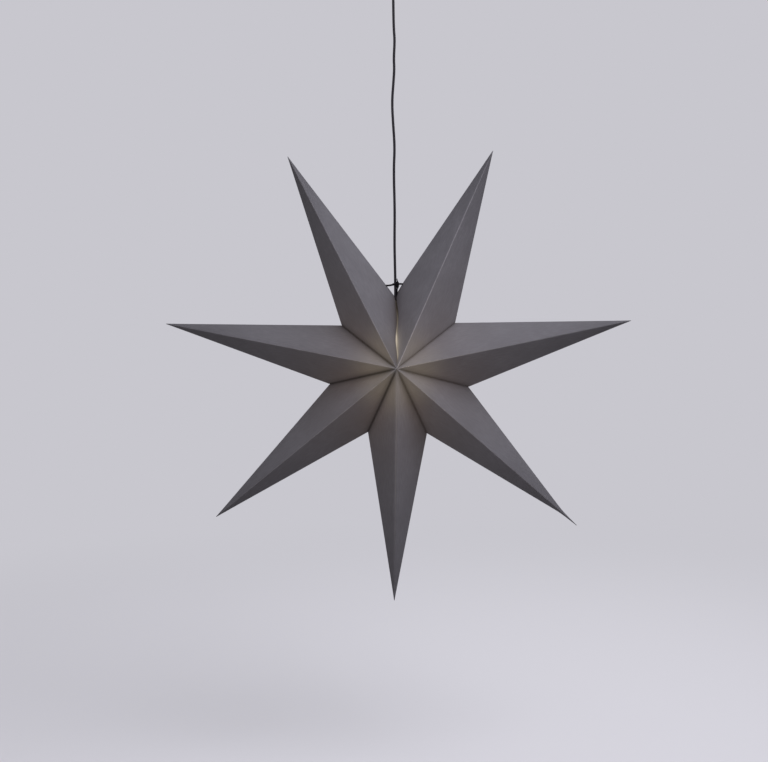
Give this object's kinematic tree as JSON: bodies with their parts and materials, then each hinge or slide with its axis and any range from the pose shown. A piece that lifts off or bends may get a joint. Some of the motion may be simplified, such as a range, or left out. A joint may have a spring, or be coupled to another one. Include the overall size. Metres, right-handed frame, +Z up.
{
  "type": "paper star lantern",
  "caption": "Folded paper star lantern hung on a flex from a ceiling cup, with a lamp inside; the star folds flat about its creases.",
  "frame": {"origin": "centre of the ceiling plate's upper face, which lies against the ceiling", "axes": "+Z up, out of the ceiling plate's upper face; the star's front peak points along -Y and +X is to the right seen from there"},
  "size_m": [0.9758, 0.237, 1.4204],
  "materials": {
    "star_paper": "matt folded paper",
    "tie_string": "black cotton string",
    "flex": "black flex sheath",
    "zinc_steel": "zinc plated",
    "black_plastic": "matt moulded",
    "cup_plastic": "satin moulded",
    "holder_plastic": "moulded thermoset",
    "terminal_plastic": "natural nylon",
    "screw_steel": "zinc plated",
    "screw_brass": "plain brass",
    "core_ceramic": "glazed",
    "bulb_opal": "opal, lit",
    "bulb_white": "white moulded",
    "bulb_cap": "nickelled",
    "bulb_black_glass": "vitrified"
  },
  "bodies": {
    "ceiling_fitting": {"ceiling_plate": "zinc_steel", "ceiling_hook": "zinc_steel", "cord_hanger": "black_plastic", "hanger_clamp_bar": "black_plastic", "hanger_clamp_screws": "screw_steel", "terminal_block": "terminal_plastic", "terminal_block_screws": "screw_brass", "cord": "flex"},
    "ceiling_cup": {"ceiling_cup": "cup_plastic", "cup_collar": "black_plastic", "cup_grub_screw": "screw_steel"},
    "lampholder": {"lampholder_skirt": "holder_plastic", "lampholder_dome": "holder_plastic", "cord_grip": "black_plastic", "cord_grip_screw": "screw_steel", "lampholder_core": "core_ceramic", "screw_socket": "screw_brass", "centre_contact": "screw_brass", "wire_screws": "screw_brass", "tie_string": "tie_string"},
    "bulb": {"bulb_globe": "bulb_opal", "bulb_body": "bulb_white", "bulb_screw_cap": "bulb_cap", "bulb_insulator": "bulb_black_glass", "bulb_contact": "screw_steel"},
    "bottom_arm_front_left": {"bottom_arm_front_left": "star_paper"},
    "bottom_arm_back_left": {"bottom_arm_back_left": "star_paper"},
    "bottom_arm_front_right": {"bottom_arm_front_right": "star_paper"},
    "bottom_arm_back_right": {"bottom_arm_back_right": "star_paper"},
    "lower_right_arm_front_lower": {"lower_right_arm_front_lower": "star_paper"},
    "lower_right_arm_back_lower": {"lower_right_arm_back_lower": "star_paper"},
    "lower_right_arm_front_upper": {"lower_right_arm_front_upper": "star_paper"},
    "lower_right_arm_back_upper": {"lower_right_arm_back_upper": "star_paper"},
    "right_arm_front_lower": {"right_arm_front_lower": "star_paper"},
    "right_arm_back_lower": {"right_arm_back_lower": "star_paper"},
    "right_arm_front_upper": {"right_arm_front_upper": "star_paper"},
    "right_arm_back_upper": {"right_arm_back_upper": "star_paper"},
    "top_right_arm_front_lower": {"top_right_arm_front_lower": "star_paper"},
    "top_right_arm_back_lower": {"top_right_arm_back_lower": "star_paper"},
    "top_right_arm_front_upper": {"top_right_arm_front_upper": "star_paper"},
    "top_right_arm_back_upper": {"top_right_arm_back_upper": "star_paper"},
    "lower_left_arm_front_upper": {"lower_left_arm_front_upper": "star_paper"},
    "lower_left_arm_back_upper": {"lower_left_arm_back_upper": "star_paper"},
    "lower_left_arm_front_lower": {"lower_left_arm_front_lower": "star_paper"},
    "lower_left_arm_back_lower": {"lower_left_arm_back_lower": "star_paper"},
    "left_arm_front_upper": {"left_arm_front_upper": "star_paper"},
    "left_arm_back_upper": {"left_arm_back_upper": "star_paper"},
    "left_arm_front_lower": {"left_arm_front_lower": "star_paper"},
    "left_arm_back_lower": {"left_arm_back_lower": "star_paper"},
    "top_left_arm_front_upper": {"top_left_arm_front_upper": "star_paper"},
    "top_left_arm_back_upper": {"top_left_arm_back_upper": "star_paper"},
    "top_left_arm_front_lower": {"top_left_arm_front_lower": "star_paper"},
    "top_left_arm_back_lower": {"top_left_arm_back_lower": "star_paper"}
  },
  "joints": [
    {"name": "star_swivel", "type": "hinge", "parent": "ceiling_fitting", "child": "lampholder", "pos_m": [0, 0, -0.74], "axis": [0, 0, 1], "range_deg": [-180, 180]},
    {"name": "cup_slide", "type": "slide", "parent": "ceiling_fitting", "child": "ceiling_cup", "axis": [0, 0, -1], "range_m": [0, 0.1]},
    {"name": "bulb_unscrew", "type": "slide", "parent": "lampholder", "child": "bulb", "axis": [0, 0, -1], "range_m": [0, 0.025]},
    {"name": "star_fold", "type": "hinge", "parent": "lampholder", "child": "bottom_arm_front_right", "pos_m": [0, -0.1195, -0.91988], "axis": [0, -0.2334, 0.9724], "range_deg": [0, 37.39], "deforming": ["tie_string"]},
    {"name": "crease_lower_right_front_valley", "type": "hinge", "parent": "bottom_arm_front_right", "child": "lower_right_arm_front_lower", "pos_m": [0.00011, -0.12032, -0.92023], "axis": [0.3388, 0.6247, -0.7035], "range_deg": [0, 98.27]},
    {"name": "crease_lower_right_front_ridge", "type": "hinge", "parent": "lower_right_arm_front_lower", "child": "lower_right_arm_front_upper", "pos_m": [-0.00009, -0.1195, -0.91993], "axis": [-0.7602, -0.2334, 0.6063], "range_deg": [0, 74.8]},
    {"name": "crease_right_front_valley", "type": "hinge", "parent": "lower_right_arm_front_upper", "child": "right_arm_front_lower", "pos_m": [0.00025, -0.12032, -0.92006], "axis": [0.7613, 0.6247, -0.1738], "range_deg": [0, 98.27]},
    {"name": "crease_right_front_ridge", "type": "hinge", "parent": "right_arm_front_lower", "child": "right_arm_front_upper", "pos_m": [-0.00012, -0.1195, -0.92003], "axis": [-0.948, -0.2334, -0.2164], "range_deg": [0, 74.8]},
    {"name": "crease_top_right_front_valley", "type": "hinge", "parent": "right_arm_front_upper", "child": "top_right_arm_front_lower", "pos_m": [0.0002, -0.12032, -0.91984], "axis": [0.6105, 0.6247, 0.4869], "range_deg": [0, 98.27]},
    {"name": "crease_top_right_front_ridge", "type": "hinge", "parent": "top_right_arm_front_lower", "child": "top_right_arm_front_upper", "pos_m": [-0.00005, -0.1195, -0.92011], "axis": [-0.4219, -0.2334, -0.8761], "range_deg": [0, 74.8]},
    {"name": "crease_bottom_front_ridge_left", "type": "hinge", "parent": "lampholder", "child": "bottom_arm_front_left", "pos_m": [0, -0.1195, -0.91988], "axis": [0, 0.2334, -0.9724], "range_deg": [0, 37.4]},
    {"name": "crease_lower_left_front_valley", "type": "hinge", "parent": "bottom_arm_front_left", "child": "lower_left_arm_front_lower", "pos_m": [-0.00011, -0.12032, -0.92023], "axis": [0.3388, -0.6247, 0.7035], "range_deg": [0, 98.27]},
    {"name": "crease_lower_left_front_ridge", "type": "hinge", "parent": "lower_left_arm_front_lower", "child": "lower_left_arm_front_upper", "pos_m": [0.00009, -0.1195, -0.91993], "axis": [-0.7602, 0.2334, -0.6063], "range_deg": [0, 74.8]},
    {"name": "crease_left_front_valley", "type": "hinge", "parent": "lower_left_arm_front_upper", "child": "left_arm_front_lower", "pos_m": [-0.00025, -0.12032, -0.92006], "axis": [0.7613, -0.6247, 0.1738], "range_deg": [0, 98.27]},
    {"name": "crease_left_front_ridge", "type": "hinge", "parent": "left_arm_front_lower", "child": "left_arm_front_upper", "pos_m": [0.00012, -0.1195, -0.92003], "axis": [-0.948, 0.2334, 0.2164], "range_deg": [0, 74.8]},
    {"name": "crease_top_left_front_valley", "type": "hinge", "parent": "left_arm_front_upper", "child": "top_left_arm_front_lower", "pos_m": [-0.0002, -0.12032, -0.91984], "axis": [0.6105, -0.6247, -0.4869], "range_deg": [0, 98.27]},
    {"name": "crease_top_left_front_ridge", "type": "hinge", "parent": "top_left_arm_front_lower", "child": "top_left_arm_front_upper", "pos_m": [0.00005, -0.1195, -0.92011], "axis": [-0.4219, 0.2334, 0.8761], "range_deg": [0, 74.8]},
    {"name": "crease_bottom_left_edge", "type": "hinge", "parent": "bottom_arm_front_left", "child": "bottom_arm_back_left", "pos_m": [-0.00024, 0, -1.42004], "axis": [-0.1756, 0, 0.9845], "range_deg": [0, 72.4]},
    {"name": "crease_bottom_right_edge", "type": "hinge", "parent": "bottom_arm_front_right", "child": "bottom_arm_back_right", "pos_m": [0.00024, 0, -1.42004], "axis": [-0.1756, 0, -0.9845], "range_deg": [0, 72.4]},
    {"name": "crease_lower_right_lower_edge", "type": "hinge", "parent": "lower_right_arm_front_lower", "child": "lower_right_arm_back_lower", "pos_m": [0.3908, 0, -1.23196], "axis": [-0.8792, 0, 0.4765], "range_deg": [0, 72.4]},
    {"name": "crease_lower_right_upper_edge", "type": "hinge", "parent": "lower_right_arm_front_upper", "child": "lower_right_arm_back_upper", "pos_m": [0.3911, 0, -1.23158], "axis": [0.6602, 0, -0.7511], "range_deg": [0, 72.4]},
    {"name": "crease_right_lower_edge", "type": "hinge", "parent": "right_arm_front_lower", "child": "right_arm_back_lower", "pos_m": [0.48756, 0, -0.80897], "axis": [-0.9207, 0, -0.3903], "range_deg": [0, 72.4]},
    {"name": "crease_right_upper_edge", "type": "hinge", "parent": "right_arm_front_upper", "child": "right_arm_back_upper", "pos_m": [0.48745, 0, -0.80849], "axis": [0.9989, 0, 0.0479], "range_deg": [0, 72.4]},
    {"name": "crease_top_right_lower_edge", "type": "hinge", "parent": "top_right_arm_front_lower", "child": "top_right_arm_back_lower", "pos_m": [0.21718, 0, -0.46958], "axis": [-0.2689, 0, -0.9632], "range_deg": [0, 72.4]},
    {"name": "crease_top_right_upper_edge", "type": "hinge", "parent": "top_right_arm_front_upper", "child": "top_right_arm_back_upper", "pos_m": [0.21674, 0, -0.46937], "axis": [0.5854, 0, 0.8108], "range_deg": [0, 72.4]},
    {"name": "crease_lower_left_upper_edge", "type": "hinge", "parent": "lower_left_arm_front_upper", "child": "lower_left_arm_back_upper", "pos_m": [-0.3911, 0, -1.23158], "axis": [0.6602, 0, 0.7511], "range_deg": [0, 72.4]},
    {"name": "crease_lower_left_lower_edge", "type": "hinge", "parent": "lower_left_arm_front_lower", "child": "lower_left_arm_back_lower", "pos_m": [-0.3908, 0, -1.23196], "axis": [-0.8792, 0, -0.4765], "range_deg": [0, 72.4]},
    {"name": "crease_left_upper_edge", "type": "hinge", "parent": "left_arm_front_upper", "child": "left_arm_back_upper", "pos_m": [-0.48745, 0, -0.80849], "axis": [0.9989, 0, -0.0479], "range_deg": [0, 72.4]},
    {"name": "crease_left_lower_edge", "type": "hinge", "parent": "left_arm_front_lower", "child": "left_arm_back_lower", "pos_m": [-0.48756, 0, -0.80897], "axis": [-0.9207, 0, 0.3903], "range_deg": [0, 72.4]},
    {"name": "crease_top_left_upper_edge", "type": "hinge", "parent": "top_left_arm_front_upper", "child": "top_left_arm_back_upper", "pos_m": [-0.21674, 0, -0.46937], "axis": [0.5854, 0, -0.8108], "range_deg": [0, 72.4]},
    {"name": "crease_top_left_lower_edge", "type": "hinge", "parent": "top_left_arm_front_lower", "child": "top_left_arm_back_lower", "pos_m": [-0.21718, 0, -0.46958], "axis": [-0.2689, 0, 0.9632], "range_deg": [0, 72.4]}
  ],
  "couplings": [
    {"joint": "crease_lower_right_front_valley", "follows": "star_fold", "ratio": 2.6279},
    {"joint": "crease_lower_right_front_ridge", "follows": "star_fold", "ratio": 2},
    {"joint": "crease_right_front_valley", "follows": "star_fold", "ratio": 2.6279},
    {"joint": "crease_right_front_ridge", "follows": "star_fold", "ratio": 2},
    {"joint": "crease_top_right_front_valley", "follows": "star_fold", "ratio": 2.6279},
    {"joint": "crease_top_right_front_ridge", "follows": "star_fold", "ratio": 2},
    {"joint": "crease_bottom_front_ridge_left", "follows": "star_fold", "ratio": 1},
    {"joint": "crease_lower_left_front_valley", "follows": "star_fold", "ratio": 2.6279},
    {"joint": "crease_lower_left_front_ridge", "follows": "star_fold", "ratio": 2},
    {"joint": "crease_left_front_valley", "follows": "star_fold", "ratio": 2.6279},
    {"joint": "crease_left_front_ridge", "follows": "star_fold", "ratio": 2},
    {"joint": "crease_top_left_front_valley", "follows": "star_fold", "ratio": 2.6279},
    {"joint": "crease_top_left_front_ridge", "follows": "star_fold", "ratio": 2},
    {"joint": "crease_bottom_left_edge", "follows": "star_fold", "ratio": 1.9358},
    {"joint": "crease_bottom_right_edge", "follows": "star_fold", "ratio": 1.9358},
    {"joint": "crease_lower_right_lower_edge", "follows": "star_fold", "ratio": 1.9358},
    {"joint": "crease_lower_right_upper_edge", "follows": "star_fold", "ratio": 1.9358},
    {"joint": "crease_right_lower_edge", "follows": "star_fold", "ratio": 1.9358},
    {"joint": "crease_right_upper_edge", "follows": "star_fold", "ratio": 1.9358},
    {"joint": "crease_top_right_lower_edge", "follows": "star_fold", "ratio": 1.9358},
    {"joint": "crease_top_right_upper_edge", "follows": "star_fold", "ratio": 1.9358},
    {"joint": "crease_lower_left_upper_edge", "follows": "star_fold", "ratio": 1.9358},
    {"joint": "crease_lower_left_lower_edge", "follows": "star_fold", "ratio": 1.9358},
    {"joint": "crease_left_upper_edge", "follows": "star_fold", "ratio": 1.9358},
    {"joint": "crease_left_lower_edge", "follows": "star_fold", "ratio": 1.9358},
    {"joint": "crease_top_left_upper_edge", "follows": "star_fold", "ratio": 1.9358},
    {"joint": "crease_top_left_lower_edge", "follows": "star_fold", "ratio": 1.9358}
  ]
}
